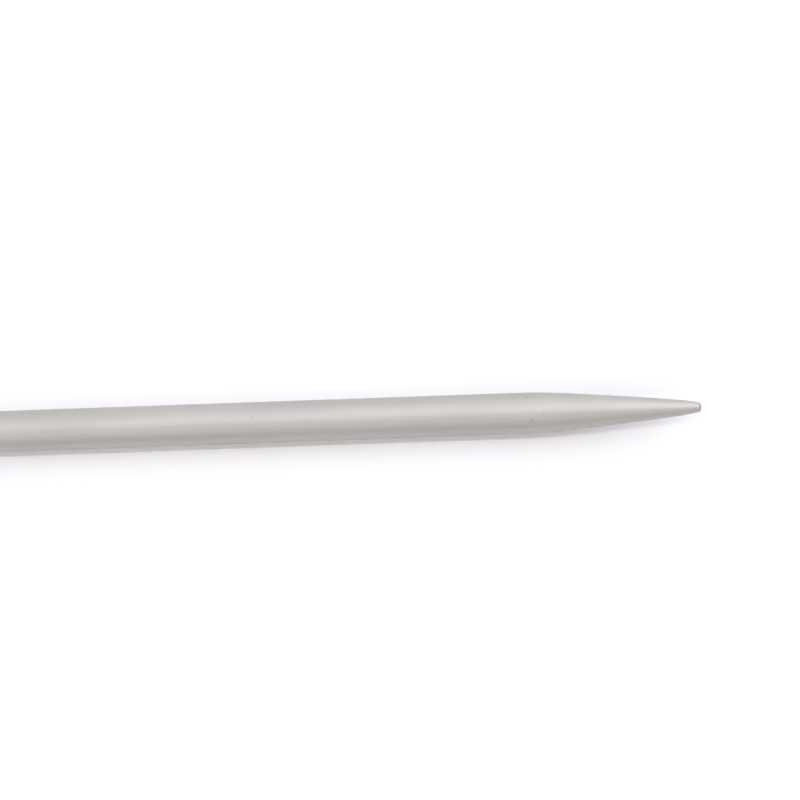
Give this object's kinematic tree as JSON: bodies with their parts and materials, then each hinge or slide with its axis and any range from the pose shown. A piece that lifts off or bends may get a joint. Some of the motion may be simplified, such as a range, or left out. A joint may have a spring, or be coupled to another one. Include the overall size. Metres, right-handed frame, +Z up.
{
  "type": "knitting needle",
  "caption": "Straight single-pointed knitting needle: a hollow aluminium shaft with a long blunt tapered point, and a round moulded head that stops the stitches.",
  "frame": {"origin": "centre of the head's flat end face, on the needle's axis", "axes": "+X along the needle towards its point, +Z up; the needle is round, so Y and Z are alike"},
  "size_m": [0.3, 0.0126, 0.0126],
  "materials": {
    "anodised_aluminium": "satin pearl-grey anodised, a faint warm tint",
    "head_plastic": "fine satin moulded",
    "plug_plastic": "fine satin moulded"
  },
  "bodies": {
    "root": {"shaft": "anodised_aluminium", "head": "head_plastic", "head_plug": "plug_plastic"}
  },
  "joints": []
}
